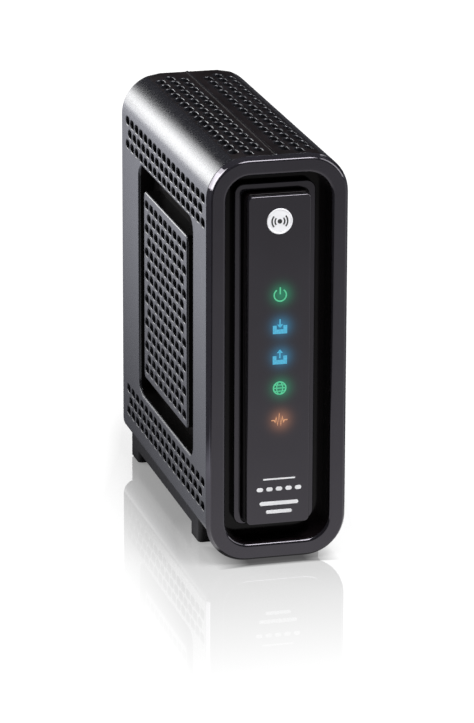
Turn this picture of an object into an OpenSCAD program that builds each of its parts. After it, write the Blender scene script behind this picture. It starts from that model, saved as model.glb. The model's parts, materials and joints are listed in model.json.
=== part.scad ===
// Desktop cable modem: a tall, narrow plastic housing on a low base, with a status light column
// on the front and its sockets at the back. Millimetres, +Z up, front towards -Y.
// The origin is on the table, at the middle of the whole footprint.
// Inside the modules, y is the distance behind the front rim, and from_rim() puts it in place.

/* [Housing] */
// Width across the two side shells
body_w = 45.2; // [44:0.1:48]
// Height of the shells' top face above the table
body_top = 131.75; // [130:0.05:136]
// Depth from the front rim to the rear edge of the shells
body_d = 114.3; // [113:0.1:120]
// Height of the shells' underside above the table
body_bottom = 8.8; // [8.4:0.1:9.6]
// Wall thickness of the shells
wall = 2; // [1.6:0.1:2.4]
// Outer radius of the two top corners
top_r = 13; // [12:0.5:14]
// Outer radius of the two bottom corners
bottom_r = 4.5; // [4:0.1:5]
// Height of the bead along the top seam
bead_h = 0.25; // [0.2:0.05:0.4]

/* [Vents] */
// Distance between slots in a row
slot_pitch = 6.19; // [6:0.01:6.3]
// Distance between rows
row_pitch = 3.98; // [3.8:0.01:4.1]
// Length of a slot
slot_l = 4.8; // [4.2:0.1:5]
// Height of a slot
slot_h = 2.6; // [2:0.1:2.8]
// Slots in a long row on the shells
slots_long = 17; // [15:1:17]

/* [Side window] */
// Front edge of the window
window_y0 = 19.4; // [18:0.1:20]
// Length of the window
window_l = 71.6; // [71:0.1:73]
// Lower edge of the window
window_z0 = 29.7; // [29:0.1:30]
// Height of the window
window_h = 78; // [77:0.1:78.4]
// Gap between the window's edge and the raised grille panel
window_gap = 7.25; // [6.5:0.05:7.5]
// Depth of the recess round the panel
recess_d = 5; // [4:0.1:6]

/* [Front] */
// Depth of the rim in front of the shells
rim_d = 2.3; // [2:0.1:3]
// How far the rim's side leans in from the shells' outline to its front
rim_inset = 0.75; // [0:0.05:1]
// Edge radius of the rim
rim_r = 0.9; // [0.6:0.1:1.5]
// Height of the rim's lowest point above the table
rim_z0 = 1.2; // [0.4:0.1:1.5]
// Width of the rim's flat face
rim_w = 4.05; // [4:0.05:5]
// Depth of the channel inside the rim
channel_d = 8; // [7:0.5:9]
// Depth at which the lens frame's ledge lies
ledge_y = 4.9; // [4:0.1:6]
// How far the lens stands in front of the rim
lens_proud = 0.5; // [0.3:0.1:1]
// How far the badge stands in front of the lens
badge_proud = 0.3; // [0.2:0.05:0.5]

/* [Base] */
// Half of the base's width
base_hw = 20; // [19:0.1:20.5]
// Height of the base's rail above the table
rail_z = 4.4; // [4.2:0.1:5]
// Front face of the base behind the rim
base_y0 = 21.5; // [20:0.5:24]
// Length of a foot
foot_l = 10.8; // [10:0.1:12]

/* [Rear] */
// How far the coaxial barrel stands behind the shells
coax_out = 9; // [8:0.5:10]
// Radius of the coaxial barrel
coax_r = 4.76; // [4.7:0.01:4.8]
// Height of the coaxial socket above the table
coax_z = 58; // [56:1:60]
// Height of the network socket above the table
net_z = 84; // [82:1:86]
// Height of the power socket above the table
power_z = 34; // [32:1:36]
// Height of the reset pinhole above the table
reset_z = 104; // [102:1:106]
// Travel of the reset button
reset_travel = 0.3; // [0.2:0.05:0.4]

/* [Hidden] */
$fn = 48;

cut = 1;                                    // how far a cutting shape runs past a face
slice = 0.01;                               // depth of the thin slices that a hull joins
half_w = body_w / 2;
inner_w = half_w - wall;
overall_d = lens_proud + badge_proud + body_d + coax_out;
rim_y = -overall_d / 2 + lens_proud + badge_proud;
shell_y0 = rim_d + 0.15;                    // front edge of the shells
gap = 0.15;                                 // fitting gap between moulded parts

// Window, tray and panel on each side
window_r = 4.5;
tray_wall = 1.2;
panel_r = 1.8;
panel_t = 1.8;
floor_x = half_w - recess_d;                // outer face of the recess floor
first_slot_y = 7;
panel_slots = 9;
panel_rows = 15;
panel_mid_y = window_y0 + window_l / 2;
panel_mid_z = window_z0 + window_h / 2 - 0.1;
top_block_z = 114.3;                        // middle row of the upper side vents
bottom_block_z = 22;                        // middle row of the lower side vents
top_rows_x = [4.1, 8.1, 12.1];              // vent rows on the top face

// Front
rim_hw = half_w - rim_inset;
rim_z1 = body_top - rim_inset;
channel_hw = rim_hw - rim_r - rim_w;
channel_z0 = rim_z0 + rim_r + rim_w + 0.2;
channel_z1 = rim_z1 - rim_r - rim_w;
rim_corner = top_r - rim_inset;
channel_r = 7.8;
channel_wall = 1.5;
frame_hw = 12.95;
frame_z0 = 11.5;
frame_z1 = 122.4;
frame_r = 3;
lens_hw = 10.45;
lens_z0 = 12.4;
lens_z1 = 119.8;
lens_r = 1.8;
lens_t = 1.8;
lens_edge = 0.7;
badge_z = 111.35;
badge_r = 4.1;
light_z = [87.75, 77.4, 67.5, 57.4, 46.9];  // status lights, top to bottom
light_x = 0.3;
light_r = 2.6;

// Board and what it carries
board_x1 = -6.5;                            // face that carries the parts
board_t = 1.6;
board_x0 = board_x1 - board_t;
board_y0 = 12;
board_y1 = 108;
board_z0 = 16;
board_z1 = 124;
boss_y = [15, 101];
boss_z = [41.5, 97];
boss_r = 3;
screw_r = 1.25;
chip_y = 58;
chip_z = 70;
chip_w = 17;
chip_t = 1.2;
pad_t = 0.6;
sink_w = 30;
sink_h = 9;

// Rear
panel_y0 = body_d - 3.2;                    // inner face of the rear panel
panel_y1 = body_d - 1.2;                    // outer face of the rear panel
socket_hw = 5.9;                            // half of the network socket's width
socket_x = [-2.6, 4.9];
jack_wall = 0.5;
jack_x = [board_x1 + 0.2, socket_x[1] + 1.4];
coax_x = 0;
collar_r = 5;                               // plain collar of the barrel, inside the panel
power_x = 0;
power_bore_r = 3;
reset_x = -2.5;
pinhole_r = 1.25;

// Base
base_y1 = body_d - 0.7;
foot_w = 9;
pad_h = 0.4;                                // how far the rubber feet stand below the base
base_screw_x = 12;
base_screw_y = [40, 96];

// ---------------------------------------------------------------- placing and outlines

module from_rim() {
    translate([0, rim_y, 0]) children();
}

// Runs an outline drawn across (x) and up (z) from depth y0 to depth y1
module along_y(y0, y1) {
    translate([0, y1, 0]) rotate([90, 0, 0]) linear_extrude(y1 - y0) children();
}

// Runs an outline drawn along the depth (y) and up (z) from x0 to x1
module along_x(x0, x1) {
    translate([x0, 0, 0]) rotate([90, 0, 90]) linear_extrude(x1 - x0) children();
}

module round_rect(x0, x1, z0, z1, r) {
    translate([x0 + r, z0]) square([x1 - x0 - 2 * r, z1 - z0]);
    translate([x0, z0 + r]) square([x1 - x0, z1 - z0 - 2 * r]);
    for (x = [x0 + r, x1 - r], z = [z0 + r, z1 - r]) translate([x, z]) circle(r);
}

// Left half of the housing's cross-section, moved in by inset all round
module half_profile(inset) {
    hw = half_w - inset;
    z0 = body_bottom + inset;
    z1 = body_top - inset;
    rt = top_r - inset;
    rb = bottom_r - inset;
    translate([-hw, z0 + rb]) square([hw, z1 - rt - z0 - rb]);
    translate([rt - hw, z1 - rt]) square([hw - rt, rt]);
    translate([rb - hw, z0]) square([hw - rb, rb]);
    translate([rt - hw, z1 - rt]) intersection() {
        circle(rt);
        translate([-rt, 0]) square(rt);
    }
    translate([rb - hw, z0 + rb]) circle(rb);
}

module slot_outline() {
    square([slot_l - slot_h, slot_h], center = true);
    for (s = [-1, 1]) translate([s * (slot_l - slot_h) / 2, 0]) circle(slot_h / 2);
}

// A row of slots along the first axis, centred on mid
module slot_row(count, mid) {
    for (i = [0:count - 1])
        translate([mid + (i - (count - 1) / 2) * slot_pitch, 0]) slot_outline();
}

// Rows of slots above each other, every other row half a pitch over and one slot shorter
module slot_block(rows, long_count, mid, mid_z) {
    for (j = [0:rows - 1])
        translate([0, mid_z + (j - (rows - 1) / 2) * row_pitch])
            slot_row(long_count - j % 2, mid);
}

shell_slot_mid = first_slot_y + (slots_long - 1) / 2 * slot_pitch;

// ---------------------------------------------------------------- shells and side panels

// Moulded left half: side wall, half of the top and half of the underside
module half_shell() {
    difference() {
        union() {
            difference() {
                along_y(shell_y0, body_d) half_profile(0);
                along_y(shell_y0 - cut, body_d + cut) half_profile(wall);
            }
            for (y = base_screw_y)
                translate([-base_screw_x, y, body_bottom + wall / 2]) cylinder(h = 7, r = boss_r);
        }
        along_x(-half_w - cut, cut - inner_w) {
            round_rect(window_y0, window_y0 + window_l, window_z0, window_z0 + window_h, window_r);
            slot_block(3, slots_long, shell_slot_mid, top_block_z);
            slot_block(3, slots_long, shell_slot_mid, bottom_block_z);
        }
        for (i = [0:2])
            translate([-top_rows_x[i], 0, body_top - wall - 4]) linear_extrude(wall + 6)
                rotate(90) slot_row(slots_long - (i + 1) % 2, shell_slot_mid);
        translate([-channel_hw - channel_wall - gap, shell_y0 - cut, body_bottom - cut])
            cube([channel_hw + channel_wall + gap + cut, channel_d + channel_wall + gap - shell_y0 + cut,
                wall + 2 * cut]);
        for (y = base_screw_y)
            translate([-base_screw_x, y, body_bottom - cut]) cylinder(h = 8, r = screw_r);
    }
}

module left_shell() {
    color([0.2, 0.2, 0.21]) from_rim() {
        half_shell();
        translate([-0.8, shell_y0, body_top - wall / 2]) cube([0.8, body_d - shell_y0, wall / 2 + bead_h]);
    }
}

module right_shell() {
    color([0.2, 0.2, 0.21]) from_rim() mirror([1, 0, 0]) half_shell();
}

// Gloss tray behind the left window: the walls and floor of the recess
module half_tray() {
    y1 = window_y0 + window_l;
    z1 = window_z0 + window_h;
    air = window_gap + 3;
    difference() {
        along_x(-inner_w, tray_wall - floor_x)
            round_rect(window_y0 - tray_wall, y1 + tray_wall, window_z0 - tray_wall, z1 + tray_wall,
                window_r + tray_wall);
        along_x(-half_w, -floor_x) round_rect(window_y0, y1, window_z0, z1, window_r);
        along_x(-half_w, cut + tray_wall - floor_x)
            round_rect(window_y0 + air, y1 - air, window_z0 + air, z1 - air, panel_r);
    }
}

module left_recess_tray() {
    color([0.03, 0.03, 0.03]) from_rim() half_tray();
}

module right_recess_tray() {
    color([0.03, 0.03, 0.03]) from_rim() mirror([1, 0, 0]) half_tray();
}

// Raised grille in the left window: a hollow cap that stands on the tray's floor
module half_grille() {
    y0 = window_y0 + window_gap;
    y1 = window_y0 + window_l - window_gap;
    z0 = window_z0 + window_gap;
    z1 = window_z0 + window_h - window_gap;
    difference() {
        along_x(-half_w, -floor_x) round_rect(y0, y1, z0, z1, panel_r);
        along_x(panel_t - half_w, cut - floor_x)
            round_rect(y0 + panel_t, y1 - panel_t, z0 + panel_t, z1 - panel_t, panel_r / 2);
        along_x(-half_w - cut, panel_t + cut - half_w)
            slot_block(panel_rows, panel_slots, panel_mid_y, panel_mid_z);
    }
}

module left_grille_panel() {
    color([0.24, 0.24, 0.25]) from_rim() half_grille();
}

module right_grille_panel() {
    color([0.24, 0.24, 0.25]) from_rim() mirror([1, 0, 0]) half_grille();
}

// ---------------------------------------------------------------- front

// Rounds the front edge of a rounded rectangle: steps slices from depth y0 to y0 + r
module soft_front(hw, z0, z1, corner, r, y0, steps) {
    for (i = [0:steps - 1]) hull() for (k = [i, i + 1]) {
        a = 90 * k / steps;
        inset = r * (1 - sin(a));
        y = y0 + r * (1 - cos(a));
        along_y(y, y + slice)
            round_rect(inset - hw, hw - inset, z0 + inset, z1 - inset, corner - inset);
    }
}

module front_bezel() {
    box_hw = channel_hw + channel_wall;
    box_z0 = channel_z0 - channel_wall;
    box_z1 = channel_z1 + channel_wall;
    color([0.16, 0.16, 0.17]) from_rim() difference() {
        union() {
            soft_front(rim_hw, rim_z0, rim_z1, rim_corner, rim_r, 0, 4);
            hull() {
                along_y(rim_r, rim_r + slice)
                    round_rect(-rim_hw, rim_hw, rim_z0, rim_z1, rim_corner);
                along_y(rim_d - slice, rim_d)
                    round_rect(-half_w, half_w, rim_z0 - rim_inset, body_top, top_r);
            }
            along_y(rim_d - cut, channel_d + channel_wall)
                round_rect(-box_hw, box_hw, box_z0, box_z1, channel_r + channel_wall);
        }
        along_y(-cut, channel_d)
            round_rect(-channel_hw, channel_hw, channel_z0, channel_z1, channel_r);
        along_y(-cut, channel_d + channel_wall + cut)
            round_rect(-frame_hw, frame_hw, frame_z0, frame_z1, frame_r);
    }
}

// Pedestal that fills the middle of the channel and carries the lens on its ledge
module lens_frame() {
    color([0.12, 0.12, 0.13]) from_rim() difference() {
        along_y(ledge_y, channel_d + channel_wall)
            round_rect(-frame_hw, frame_hw, frame_z0, frame_z1, frame_r);
        along_y(ledge_y - cut, channel_d + channel_wall + cut)
            round_rect(-lens_hw + lens_t, lens_hw - lens_t, lens_z0 + lens_t, lens_z1 - lens_t, 1);
    }
}

// Face cap with a pocket for each status light and one for the badge
module front_lens() {
    color([0.18, 0.18, 0.2]) from_rim() difference() {
        union() {
            soft_front(lens_hw, lens_z0, lens_z1, lens_r, lens_edge, -lens_proud, 3);
            along_y(lens_edge - lens_proud, ledge_y) round_rect(-lens_hw, lens_hw, lens_z0, lens_z1, lens_r);
        }
        along_y(lens_t - lens_proud, ledge_y + cut)
            round_rect(lens_t - lens_hw, lens_hw - lens_t, lens_z0 + lens_t, lens_z1 - lens_t, 1);
        for (z = light_z) along_y(-lens_proud - cut, lens_t + cut) translate([light_x, z]) circle(light_r);
        along_y(-lens_proud - cut, 0) translate([0, badge_z]) circle(badge_r);
    }
}

module badge_disc() {
    color([0.85, 0.86, 0.88]) from_rim()
        along_y(-lens_proud - badge_proud, 0) translate([0, badge_z]) circle(badge_r);
}

// Clear window of one status light, flush with the lens
module light_window(i, shade) {
    color(shade) from_rim()
        along_y(-lens_proud, lens_t - lens_proud) translate([light_x, light_z[i]]) circle(light_r);
}

module power_light_window() {
    light_window(0, [0.2, 0.85, 0.4]);
}

module receive_light_window() {
    light_window(1, [0.2, 0.6, 0.95]);
}

module send_light_window() {
    light_window(2, [0.2, 0.6, 0.95]);
}

module online_light_window() {
    light_window(3, [0.2, 0.85, 0.4]);
}

module activity_light_window() {
    light_window(4, [0.95, 0.5, 0.15]);
}

led_x = board_x1 + 0.5;                     // middle of a light chip across
led_y = board_y0 + 0.2;                     // front of a light chip
guide_h = 3;

// Five clear guides that step sideways from the board's edge to the windows, on one back bar
module light_guides() {
    y0 = lens_t - lens_proud;
    side = 1.6;
    color([0.85, 0.9, 0.92]) from_rim() {
        for (z = light_z) translate([0, 0, z - guide_h / 2]) linear_extrude(guide_h)
            polygon([[light_x - side, y0], [light_x + side, y0], [light_x + side, 6], [led_x + side, 12],
                [led_x + side, led_y], [led_x - 0.5, led_y], [led_x - 0.5, 11], [light_x - side, 5]]);
        translate([light_x - 0.5, 3, light_z[4] - guide_h / 2])
            cube([1, 1.5, light_z[0] - light_z[4] + guide_h]);
    }
}

module status_leds() {
    color([0.95, 0.95, 0.85]) from_rim() for (z = light_z)
        translate([board_x1, led_y, z - 1]) cube([1.1, 1.6, 2]);
}

// ---------------------------------------------------------------- base

module base_stand() {
    foot_x = [-base_hw, base_hw - foot_w];
    foot_y = [base_y0, base_y1 - foot_l];
    color([0.14, 0.14, 0.15]) from_rim() difference() {
        union() {
            translate([0, 0, rail_z]) linear_extrude(body_bottom - rail_z)
                round_rect(-base_hw, base_hw, base_y0, base_y1, 1.5);
            for (x = foot_x, y = foot_y) translate([0, 0, pad_h]) linear_extrude(rail_z + cut - pad_h)
                round_rect(x, x + foot_w, y, y + foot_l, 1.5);
        }
        for (x = foot_x, y = foot_y) translate([x + foot_w / 2, y + foot_l / 2, 0])
            cylinder(h = 1.4, r = 3.4);
        for (s = [-1, 1], y = base_screw_y) translate([s * base_screw_x, y, 0]) {
            cylinder(h = body_bottom + cut, r = screw_r + 0.3);
            cylinder(h = rail_z + 2, r = 2.9);
        }
    }
}

module rubber_feet() {
    foot_mid_x = base_hw - foot_w / 2;
    foot_mid_y = [base_y0 + foot_l / 2, base_y1 - foot_l / 2];
    color([0.08, 0.08, 0.08]) from_rim() for (s = [-1, 1], y = foot_mid_y)
        translate([s * foot_mid_x, y, 0]) cylinder(h = 1.4, r = 3.4);
}

// Pan-head screw, head down: the head is below z = 0 and the shank above
module screw(head_r, head_h, shank_r, shank_l) {
    difference() {
        union() {
            translate([0, 0, -head_h]) cylinder(h = head_h, r = head_r);
            cylinder(h = shank_l, r = shank_r);
        }
        for (a = [0, 90]) rotate(a) translate([-head_r * 0.6, -0.3, -head_h - cut])
            cube([head_r * 1.2, 0.6, cut + head_h * 0.6]);
    }
}

module base_screws() {
    color("silver") from_rim() for (s = [-1, 1], y = base_screw_y)
        translate([s * base_screw_x, y, rail_z + 2]) screw(2.6, 1.6, screw_r, 9);
}

module rating_label() {
    color([0.85, 0.85, 0.83]) from_rim() translate([0, 0, rail_z - 0.15]) linear_extrude(0.15)
        round_rect(-8, 8, 48, 88, 1);
}

// ---------------------------------------------------------------- rear panel

module rear_panel() {
    color([0.17, 0.17, 0.18]) from_rim() difference() {
        along_y(panel_y0, panel_y1) {
            half_profile(wall + gap);
            mirror([1, 0]) half_profile(wall + gap);
        }
        along_y(panel_y0 - cut, panel_y1 + cut) {
            translate([jack_x[0] - gap, net_z - socket_hw - jack_wall - gap])
                square([jack_x[1] - jack_x[0] + 2 * gap, 2 * (socket_hw + jack_wall + gap)]);
            translate([coax_x, coax_z]) circle(collar_r + gap);
            translate([power_x, power_z]) circle(power_bore_r + 1.6);
            translate([reset_x, reset_z]) circle(pinhole_r);
        }
    }
}

// ---------------------------------------------------------------- board and its parts

module main_board() {
    color([0.1, 0.35, 0.18]) from_rim() difference() {
        along_x(board_x0, board_x1) translate([board_y0, board_z0])
            square([board_y1 - board_y0, board_z1 - board_z0]);
        for (y = boss_y, z = boss_z) translate([board_x0 - cut, y, z]) rotate([0, 90, 0])
            cylinder(h = board_t + 2 * cut, r = screw_r + 0.3);
    }
}

// Four pillars from the left shell's wall to the board
module board_standoffs() {
    color([0.3, 0.3, 0.31]) from_rim() for (y = boss_y, z = boss_z)
        translate([-inner_w, y, z]) rotate([0, 90, 0]) difference() {
            cylinder(h = inner_w + board_x0, r = boss_r);
            translate([0, 0, inner_w + board_x0 - 8]) cylinder(h = 8 + cut, r = screw_r);
        }
}

module board_screws() {
    color("silver") from_rim() for (y = boss_y, z = boss_z)
        translate([board_x1, y, z]) rotate([0, -90, 0]) screw(2.6, 1.6, screw_r, 7);
}

// Block that stands on the board: centre along y and up z, size along y, up and off the board
module on_board(y, z, size_y, size_z, height, lift = 0) {
    translate([board_x1 + lift, y - size_y / 2, z - size_z / 2]) cube([height, size_y, size_z]);
}

module main_chip() {
    color([0.1, 0.1, 0.1]) from_rim() on_board(chip_y, chip_z, chip_w, chip_w, chip_t);
}

module thermal_pad() {
    color([0.6, 0.65, 0.75]) from_rim() on_board(chip_y, chip_z, chip_w - 1, chip_w - 1, pad_t, chip_t);
}

module heat_sink() {
    lift = chip_t + pad_t;
    fins = 8;
    fin_t = 1.2;
    color([0.7, 0.7, 0.72]) from_rim() {
        on_board(chip_y, chip_z, sink_w, sink_w, 2, lift);
        for (i = [0:fins - 1])
            on_board(chip_y + (i / (fins - 1) - 0.5) * (sink_w - fin_t), chip_z, fin_t, sink_w,
                sink_h, lift);
    }
}

module memory_chip() {
    color([0.1, 0.1, 0.1]) from_rim() on_board(chip_y, chip_z + 30, 12, 8, 1.1);
}

module flash_chip() {
    color([0.1, 0.1, 0.1]) from_rim() on_board(chip_y - 26, chip_z + 12, 6, 5, 1.2);
}

module crystal() {
    color([0.75, 0.75, 0.76]) from_rim() on_board(chip_y - 22, chip_z - 8, 5, 3.2, 1.1);
}

tuner_y = 84;
tuner_z = coax_z;
tuner_l = 20;
tuner_h = 30;
tuner_t = 5;

module tuner_shield_frame() {
    color([0.78, 0.78, 0.79]) from_rim() difference() {
        on_board(tuner_y, tuner_z, tuner_l, tuner_h, tuner_t);
        on_board(tuner_y, tuner_z, tuner_l - 0.8, tuner_h - 0.8, tuner_t + 2 * cut, -cut);
    }
}

module tuner_shield_lid() {
    color([0.82, 0.82, 0.83]) from_rim()
        on_board(tuner_y, tuner_z, tuner_l, tuner_h, 0.4, tuner_t);
}

module network_transformer() {
    color([0.12, 0.12, 0.12]) from_rim() on_board(88, net_z + 1, 9, 14, 5.5);
}

module capacitors() {
    cap_y = [86, 86, 75];
    cap_z = [24, 36, 24];
    color([0.15, 0.2, 0.35]) from_rim() for (i = [0:2])
        translate([board_x1, cap_y[i], cap_z[i]]) rotate([0, 90, 0]) cylinder(h = 11, r = 4);
}

module power_inductors() {
    color([0.25, 0.25, 0.26]) from_rim() for (z = [24, 34]) on_board(62, z, 7, 7, 4);
}

// ---------------------------------------------------------------- sockets

barrel_y0 = 98;

// Coaxial socket: foot on the board, square body inside, round barrel through the rear panel
module coax_body() {
    color([0.8, 0.8, 0.8]) from_rim() difference() {
        union() {
            translate([board_x1, barrel_y0 - 2, coax_z - 5.5])
                cube([coax_x - board_x1 + 5, panel_y0 - barrel_y0 + 1.5, 11]);
            along_y(barrel_y0, body_d + coax_out) translate([coax_x, coax_z]) circle(coax_r);
            along_y(barrel_y0, body_d) translate([coax_x, coax_z]) circle(collar_r);
        }
        along_y(barrel_y0 - 1, body_d + coax_out + cut) translate([coax_x, coax_z]) circle(3.4);
    }
}

module coax_insulator() {
    color([0.92, 0.92, 0.9]) from_rim() difference() {
        along_y(barrel_y0 - 1, body_d + coax_out - 1) translate([coax_x, coax_z]) circle(3.4);
        along_y(barrel_y0 + 3, body_d + coax_out) translate([coax_x, coax_z]) circle(0.9);
    }
}

module coax_contact() {
    color([0.85, 0.7, 0.35]) from_rim() difference() {
        along_y(barrel_y0 + 3, body_d + coax_out - 1.5) translate([coax_x, coax_z]) circle(0.9);
        along_y(barrel_y0 + 6, body_d + coax_out) translate([coax_x, coax_z]) circle(0.5);
    }
}

jack_y0 = body_d - 18;
jack_y1 = panel_y1 + 0.4;
socket_y0 = jack_y0 + 4;

module network_jack_housing() {
    color([0.1, 0.1, 0.1]) from_rim() difference() {
        translate([jack_x[0], jack_y0, net_z - socket_hw - jack_wall])
            cube([jack_x[1] - jack_x[0], jack_y1 - jack_y0, 2 * (socket_hw + jack_wall)]);
        translate([socket_x[0], socket_y0, net_z - socket_hw])
            cube([socket_x[1] - socket_x[0], jack_y1 - socket_y0 + cut, 2 * socket_hw]);
        translate([socket_x[1] - cut, socket_y0, net_z - 3.1])
            cube([cut + 0.8, jack_y1 - socket_y0 + cut, 6.2]);
    }
}

// Folded metal cover round the jack, open at the back of the modem
module network_jack_shield() {
    t = 0.25;
    hw = socket_hw + jack_wall + t;
    color([0.8, 0.8, 0.82]) from_rim() difference() {
        translate([board_x1, jack_y0 - t, net_z - hw])
            cube([jack_x[1] + t - board_x1, panel_y0 - 0.4 - jack_y0 + t, 2 * hw]);
        translate([board_x1 - cut, jack_y0, net_z - hw + t])
            cube([jack_x[1] - board_x1 + cut, body_d - jack_y0, 2 * (hw - t)]);
    }
}

// Eight spring wires that slope down into the socket
module network_jack_contacts() {
    pitch = 1.02;
    wire = 0.35;
    color([0.85, 0.7, 0.3]) from_rim() for (i = [0:7])
        translate([socket_x[0] + 0.1, socket_y0, net_z + (i - 3.5) * pitch - wire / 2])
            linear_extrude(wire)
                polygon([[0, 0], [2.4, 0], [2.4, wire], [wire, 8], [wire, 10.5], [0, 10.5]]);
}

power_y0 = body_d - 16;

module power_jack_housing() {
    hw = power_bore_r + 1.4;
    color([0.1, 0.1, 0.1]) from_rim() difference() {
        union() {
            translate([board_x1, power_y0, power_z - hw])
                cube([power_x + hw - board_x1, panel_y0 - 0.4 - power_y0, 2 * hw]);
            along_y(power_y0, panel_y1) translate([power_x, power_z]) circle(hw);
        }
        along_y(power_y0 + 4, panel_y1 + cut) translate([power_x, power_z]) circle(power_bore_r);
        along_y(power_y0 + 2, power_y0 + 5) translate([power_x, power_z]) circle(1);
    }
}

module power_jack_pin() {
    color([0.8, 0.8, 0.82]) from_rim()
        along_y(power_y0 + 2, panel_y1 - 1.5) translate([power_x, power_z]) circle(1);
}

// Leaf that presses on the plug's sleeve
module power_jack_spring() {
    color([0.8, 0.75, 0.6]) from_rim()
        translate([power_x - 0.9, power_y0 + 4, power_z - power_bore_r + 0.15]) cube([1.8, 8, 0.25]);
}

switch_y1 = panel_y0 - 3;
plunger_r = 1.5;

module reset_switch_body() {
    color([0.15, 0.15, 0.15]) from_rim() difference() {
        translate([board_x1, switch_y1 - 4, reset_z - 3]) cube([reset_x + 3 - board_x1, 4, 6]);
        along_y(switch_y1 - 3, switch_y1 + cut) translate([reset_x, reset_z]) circle(plunger_r + 0.06);
    }
}

module reset_button() {
    color([0.75, 0.72, 0.68]) from_rim()
        along_y(switch_y1 - 3 + reset_travel + 0.1, panel_y0 - 1) translate([reset_x, reset_z])
            circle(plunger_r);
}

left_shell();
right_shell();
left_recess_tray();
right_recess_tray();
left_grille_panel();
right_grille_panel();
front_bezel();
lens_frame();
front_lens();
badge_disc();
power_light_window();
receive_light_window();
send_light_window();
online_light_window();
activity_light_window();
light_guides();
status_leds();
base_stand();
rubber_feet();
base_screws();
rating_label();
rear_panel();
main_board();
board_standoffs();
board_screws();
main_chip();
thermal_pad();
heat_sink();
memory_chip();
flash_chip();
crystal();
tuner_shield_frame();
tuner_shield_lid();
network_transformer();
capacitors();
power_inductors();
coax_body();
coax_insulator();
coax_contact();
network_jack_housing();
network_jack_shield();
network_jack_contacts();
power_jack_housing();
power_jack_pin();
power_jack_spring();
reset_switch_body();
reset_button();
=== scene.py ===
"""Looks of the desktop cable modem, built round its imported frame.

Lengths are in millimetres until a mesh is made, and the metres of the frame after that.
x runs across, y from the front to the back, z up, all in the frame's own axes.
"""
import json
from math import cos, pi, radians, sin

import bmesh
import bpy
from mathutils import Matrix, Vector
from mathutils.geometry import delaunay_2d_cdt


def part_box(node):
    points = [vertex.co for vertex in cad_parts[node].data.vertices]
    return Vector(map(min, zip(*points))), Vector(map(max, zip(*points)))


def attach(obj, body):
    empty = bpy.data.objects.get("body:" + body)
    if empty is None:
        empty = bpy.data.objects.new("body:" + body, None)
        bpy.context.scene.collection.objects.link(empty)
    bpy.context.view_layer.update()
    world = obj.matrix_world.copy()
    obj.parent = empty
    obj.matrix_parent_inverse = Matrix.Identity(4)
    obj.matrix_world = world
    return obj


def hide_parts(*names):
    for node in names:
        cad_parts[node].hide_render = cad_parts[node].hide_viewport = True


MM = 0.001
HOUSING = "housing"
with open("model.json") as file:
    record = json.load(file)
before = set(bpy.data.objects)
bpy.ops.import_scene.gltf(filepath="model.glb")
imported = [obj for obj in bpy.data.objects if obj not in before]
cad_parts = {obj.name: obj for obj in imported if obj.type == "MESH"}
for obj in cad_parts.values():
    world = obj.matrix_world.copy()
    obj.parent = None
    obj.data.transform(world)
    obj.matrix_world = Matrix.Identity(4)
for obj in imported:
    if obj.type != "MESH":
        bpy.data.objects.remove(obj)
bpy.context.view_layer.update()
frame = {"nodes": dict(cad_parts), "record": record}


def box_mm(node):
    """Lowest and highest corner of a CAD node, in millimetres."""
    low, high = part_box(node)
    return low / MM, high / MM


# ---------------------------------------------------------------- sizes taken from the frame

SHELL_LOW, SHELL_HIGH = box_mm("right_shell")
BEZEL_LOW, BEZEL_HIGH = box_mm("front_bezel")
FRAME_LOW, FRAME_HIGH = box_mm("lens_frame")
LENS_LOW, LENS_HIGH = box_mm("front_lens")
BADGE_LOW, BADGE_HIGH = box_mm("badge_disc")
GRILLE_LOW, GRILLE_HIGH = box_mm("right_grille_panel")
TRAY_LOW, TRAY_HIGH = box_mm("right_recess_tray")

RIM_Y = BEZEL_LOW.y                 # plane of the rim's flat front
HALF_W = SHELL_HIGH.x
WALL = 2.0
TOP_R = 13.0                        # top corners of the shells
BOTTOM_R = 4.5                      # bottom corners of the shells
BEAD_H = box_mm("left_shell")[1].z - SHELL_HIGH.z
TRAY_WALL = 1.2

SLOT_L = 4.8
SLOT_H = 2.6
SLOT_R = 1.22
SLOT_EDGE = 0.4
TOP_SLOT_EDGE = 0.42
SLOT_PITCH = 6.19
ROW_PITCH = 3.98
LONG_ROW = 17
FIRST_SLOT = 7.0                    # from the rim's front to the middle of the first slot
SLOT_MID = RIM_Y + FIRST_SLOT + (LONG_ROW - 1) / 2 * SLOT_PITCH
SIDE_BLOCKS_Z = (114.3, 22.0)       # middle rows of the upper and lower side vents
TOP_ROWS_X = (4.1, 8.1, 12.1)       # vent rows on the top
GRILLE_ROWS = 15
GRILLE_COLUMNS = 9

WINDOW_LOW_Y = TRAY_LOW.y + TRAY_WALL
WINDOW_HIGH_Y = TRAY_HIGH.y - TRAY_WALL
WINDOW_LOW_Z = TRAY_LOW.z + TRAY_WALL
WINDOW_HIGH_Z = TRAY_HIGH.z - TRAY_WALL
WINDOW_R = 4.5
WINDOW_EDGE = 0.8

RIM_LEAN = 0.75                     # how far the rim's side leans in from the shells to its front
RIM_HALF = BEZEL_HIGH.x - RIM_LEAN
RIM_LOW_Z = BEZEL_LOW.z + RIM_LEAN
RIM_HIGH_Z = BEZEL_HIGH.z - RIM_LEAN
RIM_CORNER = TOP_R - RIM_LEAN
RIM_R = 0.9
RIM_FACE = 4.05
CHANNEL_HALF = RIM_HALF - RIM_R - RIM_FACE
RIM_LOW_EXTRA = 0.2                 # the rim's face is this much wider at the bottom
CHANNEL_LOW_Z = RIM_LOW_Z + RIM_R + RIM_FACE + RIM_LOW_EXTRA
CHANNEL_HIGH_Z = RIM_HIGH_Z - RIM_R - RIM_FACE
CHANNEL_R = 7.8
CHANNEL_DEPTH = 8.0
CHANNEL_WALL = 1.5
SHELL_GAP = 0.15                    # between the bezel and the shells

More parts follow.
